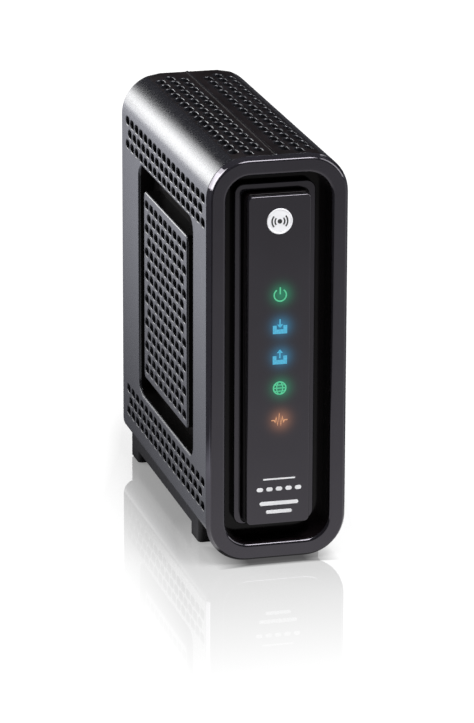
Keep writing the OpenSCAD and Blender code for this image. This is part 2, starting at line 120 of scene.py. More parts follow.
LENS_Y = LENS_LOW.y
LENS_CORNER = 1.8
FRAME_CORNER = 3.0
LIGHT_NODES = ("power_light_window", "receive_light_window", "send_light_window",
               "online_light_window", "activity_light_window")
# colours of the halos painted into the smoked cap as glow
HALO_GREEN = (0.0, 0.90, 0.42)
HALO_BLUE = (0.04, 0.75, 1.35)
HALO_ORANGE = (1.20, 0.50, 0.26)
HALO_COLOURS = (HALO_GREEN, HALO_BLUE, HALO_BLUE, HALO_GREEN, HALO_ORANGE)
HALO_SHIFT = 0.4                    # the halos sit this far to the side of their symbols
HALO_R = 3.0
HALO_LEVEL = 0.2


def centre_mm(node):
    low, high = box_mm(node)
    return (low + high) / 2


LIGHT_CENTRES = [centre_mm(node) for node in LIGHT_NODES]


# ---------------------------------------------------------------- material building blocks

class Nodes:
    """A material's node tree, with short calls for the nodes that the finishes share."""

    def __init__(self, name):
        self.material = bpy.data.materials.new(name)
        self.material.use_nodes = True
        self.tree = self.material.node_tree
        self.shader = self.tree.nodes["Principled BSDF"]
        self.place = self.tree.nodes.new("ShaderNodeTexCoord").outputs["Object"]

    def feed(self, value, target):
        """Give target the output of a node, or else a fixed value."""
        if isinstance(value, bpy.types.NodeSocket):
            self.tree.links.new(value, target)
        elif target.type == "RGBA":
            target.default_value = (*value, 1)
        else:
            target.default_value = value

    def set(self, **values):
        """Inputs of the surface's shader, by name."""
        for key, value in values.items():
            self.feed(value, self.shader.inputs[key.replace("_", " ")])

    def noise(self, grain, detail=3.0, rough=0.55, stretch=None):
        """Noise whose lumps are about grain millimetres across."""
        node = self.tree.nodes.new("ShaderNodeTexNoise")
        node.inputs["Scale"].default_value = 1.0 / (grain * MM)
        node.inputs["Detail"].default_value = detail
        node.inputs["Roughness"].default_value = rough
        source = self.place
        if stretch:
            mapping = self.tree.nodes.new("ShaderNodeMapping")
            mapping.inputs["Scale"].default_value = stretch
            self.feed(self.place, mapping.inputs["Vector"])
            source = mapping.outputs["Vector"]
        self.feed(source, node.inputs["Vector"])
        return node.outputs["Fac"]

    def range(self, source, low, high, from_low=0.3, from_high=0.7):
        """Level that runs from low to high while source runs from from_low to from_high."""
        node = self.tree.nodes.new("ShaderNodeMapRange")
        node.inputs["From Min"].default_value = from_low
        node.inputs["From Max"].default_value = from_high
        node.inputs["To Min"].default_value = low
        node.inputs["To Max"].default_value = high
        self.feed(source, node.inputs["Value"])
        return node.outputs["Result"]

    def ramp(self, source, start, end):
        """Level that runs from 0 to 1 while source runs between two places in millimetres."""
        return self.range(source, 0.0, 1.0, start * MM, end * MM)

    def mix(self, factor, first, second, way="MIX"):
        """Mix of two colours."""
        node = self.tree.nodes.new("ShaderNodeMix")
        node.data_type = "RGBA"
        node.blend_type = way
        for key, value in (("Factor", factor), ("A", first), ("B", second)):
            self.feed(value, node.inputs[key])
        return node.outputs["Result"]

    def apply(self, kind, operation, *values, output=0):
        """Output of a math or vector math node."""
        node = self.tree.nodes.new(kind)
        node.operation = operation
        for value, target in zip(values, node.inputs):
            self.feed(value, target)
        return node.outputs[output]

    def math(self, operation, *values):
        return self.apply("ShaderNodeMath", operation, *values)

    def vector(self, operation, *values):
        return self.apply("ShaderNodeVectorMath", operation, *values, output="Vector")

    def along(self, direction):
        """How far the place is in that direction."""
        return self.apply("ShaderNodeVectorMath", "DOT_PRODUCT", self.place, direction, output="Value")

    def emission(self, colour, strength):
        """Shader that glows evenly."""
        node = self.tree.nodes.new("ShaderNodeEmission")
        self.feed(colour, node.inputs["Color"])
        self.feed(strength, node.inputs["Strength"])
        return node.outputs["Emission"]

    def blend(self, factor, first, second):
        """Mix of two shaders."""
        node = self.tree.nodes.new("ShaderNodeMixShader")
        for value, target in zip((factor, first, second), node.inputs):
            self.feed(value, target)
        return node.outputs["Shader"]

    def bump(self, height, strength, distance):
        """Bumps of the given distance in millimetres."""
        node = self.tree.nodes.new("ShaderNodeBump")
        node.inputs["Strength"].default_value = strength
        node.inputs["Distance"].default_value = distance * MM
        self.feed(height, node.inputs["Height"])
        self.set(Normal=node.outputs["Normal"])


MATERIALS = {}


def finish(name, colour, darker, rough, grain, depth, metallic=0.0, specular=0.5, spread=0.05,
           stretch=None, tint=(1, 1, 1)):
    """Moulded, painted or metal surface: colour drifts, roughness varies and a fine grain stands up."""
    nodes = Nodes(name)
    nodes.set(Metallic=metallic, Specular_IOR_Level=specular, Specular_Tint=tint,
              Base_Color=nodes.mix(nodes.range(nodes.noise(9.0, 2.0), 0.0, 1.0), darker, colour),
              Roughness=nodes.range(nodes.noise(2.2, 4.0), rough - spread, rough + spread))
    nodes.bump(nodes.noise(grain, 4.0, 0.6, stretch), 1.0, depth)
    MATERIALS[name] = nodes.material


def window(name, colour):
    """Window lit from behind, a little uneven."""
    nodes = Nodes(name)
    dim = tuple(0.7 * c for c in colour)
    nodes.set(Roughness=0.3, Specular_IOR_Level=0.2, Base_Color=(0.02, 0.02, 0.02), Emission_Strength=1.0,
              Emission_Color=nodes.mix(nodes.range(nodes.noise(0.6, 2.0), 0.0, 1.0), dim, colour))
    MATERIALS[name] = nodes.material


PURPLE = (0.95, 0.89, 1.0)          # tint of the mirrored light on the glossy front


def smoked_lens():
    """Smoked face cap: the soft halo that each status light spreads through it, a little to its side, is
    painted into the cap as glow.
    """
    nodes = Nodes("lens_smoke")
    drift = nodes.range(nodes.noise(14.0, 2.0), 0.0, 1.0)
    nodes.set(Specular_Tint=PURPLE,
              Base_Color=nodes.mix(drift, (0.007, 0.0065, 0.008), (0.009, 0.0085, 0.0105)),
              Roughness=nodes.range(nodes.noise(3.0, 3.0), 0.07, 0.1))
    nodes.bump(nodes.noise(0.5, 3.0), 0.4, 0.002)
    total = (0, 0, 0)
    # Painted glow: a coloured halo round each status light, added to the cap as emission
    for centre, colour in zip(LIGHT_CENTRES, HALO_COLOURS):
        middle = ((centre.x + HALO_SHIFT) * MM, LENS_Y * MM, centre.z * MM)
        offset = nodes.vector("SUBTRACT", nodes.place, middle)
        squared = nodes.apply("ShaderNodeVectorMath", "DOT_PRODUCT", offset, offset, output="Value")
        halo = nodes.math("EXPONENT", nodes.math("MULTIPLY", squared, -1.0 / (HALO_R * MM) ** 2))
        glow = nodes.vector("MULTIPLY", tuple(c * HALO_LEVEL for c in colour), halo)
        total = nodes.vector("ADD", total, glow)
    nodes.set(Emission_Color=total, Emission_Strength=1.0)
    MATERIALS["lens_smoke"] = nodes.material


def solder_mask():
    """Green solder mask with copper tracks showing through it."""
    nodes = Nodes("board_green")
    turned = nodes.tree.nodes.new("ShaderNodeMapping")
    turned.inputs["Rotation"].default_value = (0, radians(90), 0)
    nodes.feed(nodes.place, turned.inputs["Vector"])
    tracks = nodes.tree.nodes.new("ShaderNodeTexBrick")
    for key, value in (("Scale", 1.0 / (14 * MM)), ("Mortar Size", 0.03), ("Color1", (0.012, 0.085, 0.035)),
                       ("Color2", (0.015, 0.10, 0.042)), ("Mortar", (0.04, 0.17, 0.06)),
                       ("Vector", turned.outputs["Vector"])):
        nodes.feed(value, tracks.inputs[key])
    nodes.set(Base_Color=tracks.outputs["Color"], Roughness=0.35, Coat_Weight=0.4, Coat_Roughness=0.15)
    nodes.bump(nodes.noise(0.6, 3.0), 0.3, 0.02)
    MATERIALS["board_green"] = nodes.material


def clear_acrylic():
    """Clear acrylic of the light guides."""
    nodes = Nodes("clear_guide")
    nodes.set(Transmission_Weight=0.85, IOR=1.49, Roughness=nodes.range(nodes.noise(2.0), 0.04, 0.14),
              Base_Color=nodes.mix(nodes.noise(4.0), (0.86, 0.9, 0.92), (0.95, 0.97, 0.98)))
    MATERIALS["clear_guide"] = nodes.material


finish("shell_plastic", (0.014, 0.014, 0.017), (0.011, 0.011, 0.0135), 0.27, 0.2, 0.003, spread=0.01,
       tint=(0.93, 0.95, 1.0))
finish("top_texture", (0.009, 0.007, 0.008), (0.004, 0.003, 0.0035), 0.56, 0.3, 0.07, specular=0.1)
finish("gloss_black", (0.006, 0.005, 0.005), (0.004, 0.004, 0.004), 0.3, 0.8, 0.003, spread=0.03,
       specular=0.02)
finish("bezel_gloss", (0.010, 0.0095, 0.012), (0.008, 0.0075, 0.0095), 0.07, 0.7, 0.002, spread=0.02,
       tint=PURPLE)
finish("channel_gloss", (0.004, 0.003, 0.0035), (0.003, 0.002, 0.0025), 0.12, 0.7, 0.002, spread=0.02,
       specular=0.1)
smoked_lens()
finish("badge_silver", (0.93, 0.93, 0.96), (0.84, 0.84, 0.87), 0.42, 0.25, 0.01, metallic=0.2)
finish("mark_dark", (0.02, 0.02, 0.022), (0.015, 0.015, 0.016), 0.4, 0.4, 0.005)
finish("mark_white", (0.86, 0.86, 0.88), (0.76, 0.76, 0.78), 0.5, 0.3, 0.004)
finish("led_white", (0.9, 0.9, 0.78), (0.85, 0.82, 0.6), 0.4, 0.3, 0.01)
finish("base_plastic", (0.010, 0.009, 0.010), (0.008, 0.008, 0.008), 0.5, 0.25, 0.012, specular=0.24)
finish("rubber_black", (0.022, 0.022, 0.022), (0.014, 0.014, 0.014), 0.75, 0.3, 0.03, specular=0.3)
finish("screw_steel", (0.62, 0.62, 0.63), (0.5, 0.5, 0.52), 0.3, 0.2, 0.01, metallic=1.0)
finish("label_film", (0.78, 0.78, 0.76), (0.7, 0.7, 0.69), 0.4, 0.5, 0.006)
solder_mask()
finish("chip_black", (0.022, 0.022, 0.024), (0.015, 0.015, 0.016), 0.6, 0.15, 0.01)
finish("pad_grey", (0.35, 0.4, 0.5), (0.3, 0.34, 0.44), 0.7, 0.3, 0.02)
finish("sink_aluminium", (0.7, 0.7, 0.72), (0.6, 0.6, 0.62), 0.35, 0.2, 0.02, metallic=1.0,
       stretch=(1, 1, 0.04))
finish("shield_tin", (0.72, 0.72, 0.72), (0.62, 0.62, 0.63), 0.3, 0.6, 0.01, metallic=1.0)
finish("cap_sleeve", (0.03, 0.045, 0.12), (0.02, 0.03, 0.09), 0.3, 0.5, 0.01)
finish("coil_ferrite", (0.05, 0.05, 0.052), (0.035, 0.035, 0.038), 0.65, 0.25, 0.04)
finish("coax_nickel", (0.78, 0.76, 0.71), (0.66, 0.64, 0.6), 0.22, 0.3, 0.008, metallic=1.0)
finish("insulator_white", (0.82, 0.82, 0.78), (0.74, 0.74, 0.7), 0.45, 0.4, 0.01)
finish("contact_gold", (0.85, 0.62, 0.25), (0.75, 0.52, 0.2), 0.24, 0.3, 0.006, metallic=1.0)
finish("jack_black", (0.016, 0.016, 0.017), (0.012, 0.012, 0.012), 0.35, 0.3, 0.008)
finish("pin_nickel", (0.74, 0.73, 0.7), (0.64, 0.63, 0.6), 0.2, 0.3, 0.006, metallic=1.0)
finish("button_tan", (0.5, 0.45, 0.38), (0.42, 0.38, 0.32), 0.45, 0.3, 0.01)
clear_acrylic()
window("light_green", (0.10, 0.66, 0.34))
window("light_blue", (0.08, 0.50, 0.76))
window("light_orange", (0.80, 0.38, 0.19))

NODE_SLOTS = {row["node"]: row["material_slot"] for row in frame["record"]["subparts"]}
for node_name, node_object in frame["nodes"].items():
    node_object.data.materials.clear()
    node_object.data.materials.append(MATERIALS[NODE_SLOTS[node_name]])


# ---------------------------------------------------------------- mesh building blocks

def rounded(x0, x1, z0, z1, radius, steps=6):
    """Counter-clockwise points of a rounded rectangle: steps + 1 points round each corner."""
    corners = ((x1 - radius, z1 - radius), (x0 + radius, z1 - radius),
               (x0 + radius, z0 + radius), (x1 - radius, z0 + radius))
    points = []
    for quarter, (cx, cz) in enumerate(corners):
        for k in range(steps + 1):
            angle = pi / 2 * (quarter + k / steps)
            points.append((cx + radius * cos(angle), cz + radius * sin(angle)))
    return points


def fillet_steps(radius, steps=4):
    """(how far still out from the wall, how deep) pairs round a quarter fillet, face first."""
    return [(radius * (1 - sin(pi / 2 * k / steps)), radius * (1 - cos(pi / 2 * k / steps)))
            for k in range(steps + 1)]


def contains(loop, point):
    """True if the point is inside the loop."""
    x, y = point
    inside = False
    for (x0, y0), (x1, y1) in zip(loop, loop[1:] + loop[:1]):
        if (y0 > y) != (y1 > y) and x < x0 + (y - y0) / (y1 - y0) * (x1 - x0):
            inside = not inside
    return inside


def fill(loops, guides=()):
    """Triangles between the first loop and the others, as indices into all the loops' points in turn.
    guides are pairs of indices that have to be joined by an edge."""
    points = [p for loop in loops for p in loop]
    edges = list(guides)
    start = 0
    for loop in loops:
        count = len(loop)
        edges += [(start + i, start + (i + 1) % count) for i in range(count)]
        start += count
    found = delaunay_2d_cdt([Vector(p) for p in points], edges, [], 0, 1e-7)
    corners, triangles, origins = found[0], found[2], found[3]
    bounds = [(min(p[0] for p in loop), max(p[0] for p in loop), min(p[1] for p in loop),
               max(p[1] for p in loop), loop) for loop in loops]
    kept = []
    for triangle in triangles:
        middle = sum((corners[i] for i in triangle), Vector((0, 0))) / len(triangle)
        hits = [contains(loop, middle) for x0, x1, y0, y1, loop in bounds
                if x0 <= middle.x <= x1 and y0 <= middle.y <= y1]
        if sum(hits) == 1 and contains(loops[0], middle):
            kept.append([origins[i][0] for i in triangle])
    return kept


def bridge(first, second):
    """Quads between two rings of indices."""
    count = len(first)
    return [(first[i], first[(i + 1) % count], second[(i + 1) % count], second[i]) for i in range(count)]


def add_piece(name, points, faces, slots, zones=None, weighted=True):
    """A closed piece of the housing, from points in millimetres. zones gives each face's place in slots."""
    mesh = bpy.data.meshes.new(name)
    mesh.from_pydata([Vector(p) * MM for p in points], [], faces)
    for slot_name in slots:
        mesh.materials.append(MATERIALS[slot_name])
    if zones:
        mesh.polygons.foreach_set("material_index", zones)
    work = bmesh.new()
    work.from_mesh(mesh)
    bmesh.ops.recalc_face_normals(work, faces=work.faces)
    work.to_mesh(mesh)
    work.free()
    mesh.shade_smooth()
    mesh.set_sharp_from_angle(angle=radians(38))
    piece = bpy.data.objects.new(name, mesh)
    bpy.context.scene.collection.objects.link(piece)
    if weighted:
        modifier = piece.modifiers.new("even_normals", "WEIGHTED_NORMAL")
        modifier.mode = "FACE_AREA"
        modifier.weight = 80
        modifier.keep_sharp = True
    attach(piece, HOUSING)
    return piece


def plate(name, place, stacks, slots, guides=(), face_zone=None, wall_zone=None):
    """A plate with holes. stacks holds the outline's rings and then each hole's, from the face to the
    back, as (u, v, depth) points, and place turns such a point into x, y, z.
    face_zone(u, v) and wall_zone(stack, ring) choose a face's place in slots."""
    points, faces, zones = [], [], []
    rings = []
    for stack in stacks:
        indices = []
        for ring in stack:
            indices.append(list(range(len(points), len(points) + len(ring))))
            points += [place(*p) for p in ring]
        rings.append(indices)
        for number, (first, second) in enumerate(zip(indices, indices[1:])):
            quads = bridge(first, second)
            faces += quads
            zones += [wall_zone(len(rings) - 1, number) if wall_zone else 0] * len(quads)
    for side in (0, -1):
        loops = [[(u, v) for u, v, _ in stack[side]] for stack in stacks]
        flat = [p for loop in loops for p in loop]
        ids = [i for indices in rings for i in indices[side]]
        for triangle in fill(loops, guides):
            faces.append([ids[i] for i in triangle])
            middle = [sum(flat[i][axis] for i in triangle) / 3 for axis in (0, 1)]
            zones.append(face_zone(*middle) if face_zone and side == 0 else 0)
    return add_piece(name, points, faces, slots, zones)


def hole_stack(u, v, half_u, half_v, radius, edge, depth, steps=6):
    """Rings of a rounded rectangular hole with a rounded rim, through to the given depth."""
    rings = []
    for out, deep in fillet_steps(edge):
        ring = rounded(u - half_u - out, u + half_u + out, v - half_v - out, v + half_v + out,
                       radius + out, steps)
        rings.append([(a, b, deep) for a, b in ring])
    rings.append([(a, b, depth) for a, b, _ in rings[-1]])
    return rings


def slot_places(rows, long_row, middle, row_middle):
    """Centres of a block of slots: every other row is half a pitch over and one slot shorter."""
    for j in range(rows):
        count = long_row - j % 2
        for i in range(count):
            yield (middle + (i - (count - 1) / 2) * SLOT_PITCH,
                   row_middle + (j - (rows - 1) / 2) * ROW_PITCH)


def loft(name, rings, slots, zones, closed):
    """A skin over rings of x, y, z points. A closed one joins the last ring to the first; any other
    gets a face at both ends. zones gives each stretch's place in slots."""
    count = len(rings[0])
    points = [p for ring in rings for p in ring]
    ids = [list(range(k * count, (k + 1) * count)) for k in range(len(rings))]
    pairs = list(zip(ids, ids[1:] + ids[:1])) if closed else list(zip(ids, ids[1:]))
    faces, marks = [], []
    for (first, second), zone in zip(pairs, zones):
        faces += bridge(first, second)
        marks += [zone] * count
    if not closed:
        faces += [ids[0], ids[-1]]
        marks += [zones[0], zones[-1]]
    return add_piece(name, points, faces, slots, marks)


# ---------------------------------------------------------------- shells

class Section:
    """Cross-section of a shell. s is the way along its outside, from the top seam down the side and
    back to the bottom seam."""

    top_flat = HALF_W - TOP_R
    top_arc = TOP_R * pi / 2
    side = SHELL_HIGH.z - TOP_R - SHELL_LOW.z - BOTTOM_R
    bottom_arc = BOTTOM_R * pi / 2
    bottom_flat = HALF_W - BOTTOM_R
    length = top_flat + top_arc + side + bottom_arc + bottom_flat

    @classmethod
    def at(cls, s, depth):
        """x and z of the point at s, that deep under the outside."""
        top_z = SHELL_HIGH.z
        if s <= cls.top_flat:
            return s, top_z - depth
        s -= cls.top_flat
        if s <= cls.top_arc:
            angle = s / TOP_R
            reach = TOP_R - depth
            return cls.top_flat + reach * sin(angle), top_z - TOP_R + reach * cos(angle)
        s -= cls.top_arc
        if s <= cls.side:
            return HALF_W - depth, top_z - TOP_R - s
        s -= cls.side
        if s <= cls.bottom_arc:
            angle = s / BOTTOM_R
            reach = BOTTOM_R - depth
            return cls.bottom_flat + reach * cos(angle), SHELL_LOW.z + BOTTOM_R - reach * sin(angle)
        return cls.bottom_flat - (s - cls.bottom_arc), SHELL_LOW.z + depth

    @classmethod
    def s_of_z(cls, z):
        """Place along the side wall at height z."""
        return cls.top_flat + cls.top_arc + SHELL_HIGH.z - TOP_R - z


BEAD_FLAT = 0.5                     # the seam bead is flat up to here
BEAD_W = 0.8                        # and ends here
CREASE_S = 14.2                     # crease between the textured top and the smooth corner
CREASE_HALF = 0.2
CREASE_DEPTH = 0.03
SHELL_EDGE = 0.45
CORNER_STEPS = 16
BOTTOM_STEPS = 8


def shell_stations(bead):
    """(s, relief) pairs along the shell's cross-section: relief stands out of the outside."""
    start = Section.top_flat + Section.top_arc
    low = start + Section.side
    stations = [(0.0, bead)]
    if bead:
        stations += [(BEAD_FLAT, bead), (BEAD_W, 0.0)]
    stations += [(2.0, 0.0), (Section.top_flat, 0.0)]
    stations += [(CREASE_S - CREASE_HALF, 0.0), (CREASE_S, -CREASE_DEPTH), (CREASE_S + CREASE_HALF, 0.0)]
    smooth = CREASE_S + CREASE_HALF
    stations += [(smooth + (start - smooth) * k / CORNER_STEPS, 0.0) for k in range(1, CORNER_STEPS + 1)]
    stations += [(low + Section.bottom_arc * k / BOTTOM_STEPS, 0.0) for k in range(BOTTOM_STEPS + 1)]
    stations += [(Section.length, 0.0)]
    return stations


def shell_outline(stations):
    """Rings of the shell's edge: its front, its rear and the seams, rounded over.

    The bottom starts further back, behind the channel. The station where its flat part begins gets
    two points in front: on the front edge, and in the inner corner of that notch."""
    y0, y1 = SHELL_LOW.y, SHELL_HIGH.y
    notch_y = RIM_Y + CHANNEL_DEPTH + CHANNEL_WALL + SHELL_GAP
    notch_at = len(stations) - 2
    seam_share = 0.5
    rings = []
    for out, deep in fillet_steps(SHELL_EDGE):
        scale = (Section.length - 2 * out * seam_share) / Section.length
        front, rear = [], []
        for number, (s, relief) in enumerate(stations):
            along = out * seam_share + s * scale
            depth = deep - relief
            if number < notch_at:
                front.append((along, y0 + out, depth))
            elif number == notch_at:
                front += [(along - out, y0 + out, depth), (along - out, notch_y + out, depth)]
            else:
                front.append((along, notch_y + out, depth))
            rear.append((along, y1 - out, depth))
        rings.append(front + rear[::-1])
    rings.append([(s, y, WALL) for s, y, _ in rings[-1]])
    return rings


def make_shell(name, side, bead):
    """Half of the housing. side is -1 for the left one and +1 for the right one."""
    stations = shell_stations(bead)
    stacks = [shell_outline(stations)]
    for middle_z in SIDE_BLOCKS_Z:
        for y, z in slot_places(3, LONG_ROW, SLOT_MID, middle_z):
            stacks.append(hole_stack(Section.s_of_z(z), y, SLOT_H / 2, SLOT_L / 2, SLOT_R, SLOT_EDGE, WALL))
    for number, x in enumerate(TOP_ROWS_X):
        row = LONG_ROW - (number + 1) % 2
        for i in range(row):
            y = SLOT_MID + (i - (row - 1) / 2) * SLOT_PITCH
            stacks.append(hole_stack(x, y, SLOT_H / 2, SLOT_L / 2, SLOT_R, TOP_SLOT_EDGE, WALL))
    stacks.append(hole_stack(
        Section.s_of_z((WINDOW_LOW_Z + WINDOW_HIGH_Z) / 2), (WINDOW_LOW_Y + WINDOW_HIGH_Y) / 2,
        (WINDOW_HIGH_Z - WINDOW_LOW_Z) / 2, (WINDOW_HIGH_Y - WINDOW_LOW_Y) / 2,
        WINDOW_R, WINDOW_EDGE, WALL, 10))
    window = len(stacks) - 1
    window_wall = len(stacks[window]) - 2
    # Each station clear of the holes runs straight back, from its front point to its rear one. The last
    # but one starts from the notch's inner corner, one point further on.
    clear = 0.05
    spans = [(min(p[0] for p in stack[0]) - clear, max(p[0] for p in stack[0]) + clear)
             for stack in stacks[1:]]
    count = len(stations)
    guides = [(k + (k == count - 2), 2 * count - k) for k in range(1, count - 1)
              if not any(low < stations[k][0] < high for low, high in spans)]

    def place(s, y, depth):
        x, z = Section.at(s, depth)
        return side * x, y, z

    def face_zone(s, _):
        return 1 if s < CREASE_S and not (bead and BEAD_FLAT < s < BEAD_W) else 0

    def wall_zone(stack, ring):
        return 2 if stack == window and ring == window_wall else 0

    piece = plate(name + "_skin", place, stacks, ["shell_plastic", "top_texture", "gloss_black"],
                  guides, face_zone, wall_zone)
    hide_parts(name)
    return piece


left_skin = make_shell("left_shell", -1, BEAD_H)
make_shell("right_shell", 1, 0.0)


# ---------------------------------------------------------------- raised grille panels

GRILLE_R = 1.8
GRILLE_EDGE = 0.7
GRILLE_T = 1.8
GRILLE_WALL = 1.1
GRILLE_STEPS = 5
GRILLE_SINK = 0.1                   # the slots sit this much under the panel's middle


def make_grille(name, side):
    """Raised vent panel: a satin face, gloss side walls down to the recess floor, hollow behind."""
    y0, y1, z0, z1 = GRILLE_LOW.y, GRILLE_HIGH.y, GRILLE_LOW.z, GRILLE_HIGH.z
    full = GRILLE_HIGH.x - GRILLE_LOW.x
    rings = []
    for out, deep in fillet_steps(GRILLE_EDGE, GRILLE_STEPS):
        ring = rounded(y0 + out, y1 - out, z0 + out, z1 - out, GRILLE_R - out)
        rings.append([(a, b, deep) for a, b in ring])
    rings.append([(a, b, full) for a, b, _ in rings[-1]])
    inner = rounded(y0 + GRILLE_WALL, y1 - GRILLE_WALL, z0 + GRILLE_WALL, z1 - GRILLE_WALL, GRILLE_R / 2)
    rings.append([(a, b, full) for a, b in inner])
    rings.append([(a, b, GRILLE_T) for a, b in inner])
    stacks = [rings]
    middle = ((y0 + y1) / 2, (z0 + z1) / 2 - GRILLE_SINK)
    for y, z in slot_places(GRILLE_ROWS, GRILLE_COLUMNS, *middle):
        stacks.append(hole_stack(y, z, SLOT_L / 2, SLOT_H / 2, SLOT_R, SLOT_EDGE, GRILLE_T))

    def place(y, z, depth):
        return side * (GRILLE_HIGH.x - depth), y, z

    def wall_zone(stack, ring):
        return 1 if stack == 0 and ring >= GRILLE_STEPS else 0

    piece = plate(name + "_skin", place, stacks, ["shell_plastic", "gloss_black"], wall_zone=wall_zone)
    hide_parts(name)
    return piece


left_grille = make_grille("left_grille_panel", -1)
make_grille("right_grille_panel", 1)


# ---------------------------------------------------------------- front

def face_ring(half, z0, z1, radius, y, steps=12):
    """Rounded rectangle facing forwards, at depth y behind the rim's front."""
    return [(x, RIM_Y + y, z) for x, z in rounded(-half, half, z0, z1, radius, steps)]


def make_bezel():
    """Rim with a soft outer edge, the channel inside it and its floor."""
    back = BEZEL_HIGH.y - RIM_Y
    rim_d = SHELL_LOW.y - RIM_Y - SHELL_GAP
    lip = 1.1
    rings = [face_ring(BEZEL_HIGH.x, BEZEL_LOW.z, BEZEL_HIGH.z, TOP_R, rim_d)]
    for out, deep in reversed(fillet_steps(RIM_R, 6)):
        rings.append(face_ring(RIM_HALF - out, RIM_LOW_Z + out, RIM_HIGH_Z - out, RIM_CORNER - out, deep))
    for out, deep in fillet_steps(lip, 4):
        rings.append(face_ring(CHANNEL_HALF + out, CHANNEL_LOW_Z - out, CHANNEL_HIGH_Z + out,
                               CHANNEL_R + out, deep))
    lip_end = len(rings) - 1
    rings.append(face_ring(CHANNEL_HALF, CHANNEL_LOW_Z, CHANNEL_HIGH_Z, CHANNEL_R, CHANNEL_DEPTH))
    inner = (FRAME_HIGH.x, FRAME_LOW.z, FRAME_HIGH.z, FRAME_CORNER)
    rings.append(face_ring(*inner, CHANNEL_DEPTH))
    rings.append(face_ring(*inner, back))
    outer = (CHANNEL_HALF + CHANNEL_WALL, CHANNEL_LOW_Z - CHANNEL_WALL, CHANNEL_HIGH_Z + CHANNEL_WALL,
             CHANNEL_R + CHANNEL_WALL)
    rings.append(face_ring(*outer, back))
    rings.append(face_ring(*outer, rim_d))
    zones = [0] * (lip_end - 1) + [1] * (len(rings) - lip_end + 1)
    piece = loft("front_bezel_skin", rings, ["bezel_gloss", "channel_gloss"], zones, True)
    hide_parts("front_bezel")
    return piece


def make_lens_frame():
    """Pedestal in the channel, with a fine groove in its ledge round the lens."""
    half, z0, z1 = FRAME_HIGH.x, FRAME_LOW.z, FRAME_HIGH.z
    ledge = FRAME_LOW.y - RIM_Y
    back = FRAME_HIGH.y - RIM_Y
    edge = 0.35
    rings = [face_ring(half, z0, z1, FRAME_CORNER, back)]
    for out, deep in reversed(fillet_steps(edge)):
        rings.append(face_ring(half - out, z0 + out, z1 - out, FRAME_CORNER - out, ledge + deep))
    ledge_start = len(rings)
    groove, groove_depth, soften, gap = 0.5, 0.7, 0.1, 0.02
    bottom = ledge + groove_depth
    half, z0, z1 = LENS_HIGH.x, LENS_LOW.z, LENS_HIGH.z
    for out, y in ((groove, ledge), (groove - soften, ledge + soften), (groove - soften, bottom),
                   (gap, bottom)):
        rings.append(face_ring(half + out, z0 - out, z1 + out, LENS_CORNER + out, y))
    wall = 1.8
    for y in (bottom, back):
        rings.append(face_ring(half - wall, z0 + wall, z1 - wall, 1.0, y))
    zones = [1] + [0] * (ledge_start - 1) + [1] * (len(rings) - ledge_start)
    piece = loft("lens_frame_skin", rings, ["bezel_gloss", "channel_gloss"], zones, True)
    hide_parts("lens_frame")


def make_lens():
    """Smoked cap with a bright soft edge and a step half way down its side."""
    half, z0, z1 = LENS_HIGH.x, LENS_LOW.z, LENS_HIGH.z
    front = LENS_Y - RIM_Y
    back = LENS_HIGH.y - RIM_Y
    step_in, step_edge, step_y = 0.35, 0.3, front + 2.3
    edge = 0.45
    rings = [face_ring(half, z0, z1, LENS_CORNER, back)]
    for out, deep in reversed(fillet_steps(step_edge, 3)):
        rings.append(face_ring(half - out, z0 + out, z1 - out, LENS_CORNER - out, step_y + deep))
    edge_start = len(rings)
    inset = step_in + 0.05
    rings.append(face_ring(half - inset, z0 + inset, z1 - inset, LENS_CORNER - step_in, step_y))
    for out, deep in reversed(fillet_steps(edge, 5)):
        inset = out + step_in
        rings.append(face_ring(half - inset, z0 + inset, z1 - inset, LENS_CORNER - inset, front + deep))
    zones = [1] * edge_start + [0] * (len(rings) - edge_start)
    piece = loft("front_lens_skin", rings, ["lens_smoke", "channel_gloss"], zones, False)
    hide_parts("front_lens")
    return piece


bezel = make_bezel()
make_lens_frame()
lens_cap = make_lens()


# ---------------------------------------------------------------- badge, symbols and marks

def ribbon(points, width, closed=False):
    """Left and right side of a line of the given width, mitred at its corners."""
    count = len(points)
    left, right = [], []
    for i, (x, z) in enumerate(points):
        before = points[i - 1] if i or closed else None
        after = points[(i + 1) % count] if i < count - 1 or closed else None
        ways = []
        if before:
            ways.append(Vector((x - before[0], z - before[1])).normalized())
        if after:
            ways.append(Vector((after[0] - x, after[1] - z)).normalized())
        way = sum(ways, Vector((0, 0))).normalized()
        normal = Vector((-way.y, way.x))
        reach = width / 2 / max(0.45, normal.dot(Vector((-ways[0].y, ways[0].x))))
        left.append((x + normal.x * reach, z + normal.y * reach))
        right.append((x - normal.x * reach, z - normal.y * reach))
    return left, right


def flat_mark(name, shapes, front, back, slot_name, stands_for=()):
    """Thin raised artwork between depths front and back. Each shape is ("line", points, width),
    ("loop", points, width) or ("area", points)."""
    points, faces = [], []

    def layer(flat):
        indices = []
        for y in (front, back):
            indices.append(list(range(len(points), len(points) + len(flat))))
            points.extend((x, y, z) for x, z in flat)
        return indices

    for shape in shapes:
        if shape[0] == "loop":
            left, right = ribbon(shape[1], shape[2], True)
            (lf, lb), (rf, rb) = layer(left), layer(right)
            for first, second in ((lf, rf), (rf, rb), (rb, lb), (lb, lf)):
                faces.extend(bridge(first, second))
        else:
            if shape[0] == "line":
                left, right = ribbon(shape[1], shape[2])
                outline = left + right[::-1]
            else:
                outline = shape[1]
            near, far = layer(outline)
            faces.extend(bridge(near, far))
            for ids in (near, far):
                faces.extend([ids[i] for i in triangle] for triangle in fill([outline]))
    piece = add_piece(name, points, faces, [slot_name], weighted=False)
    piece.data.shade_flat()
    if stands_for:
        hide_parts(*stands_for)
    return piece


def arc(cx, cz, radius, start, end, steps=20, squash=1.0):
    """Points round part of a circle, angles in degrees."""
    angles = [radians(start + (end - start) * k / steps) for k in range(steps + 1)]
    return [(cx + squash * radius * cos(a), cz + radius * sin(a)) for a in angles]


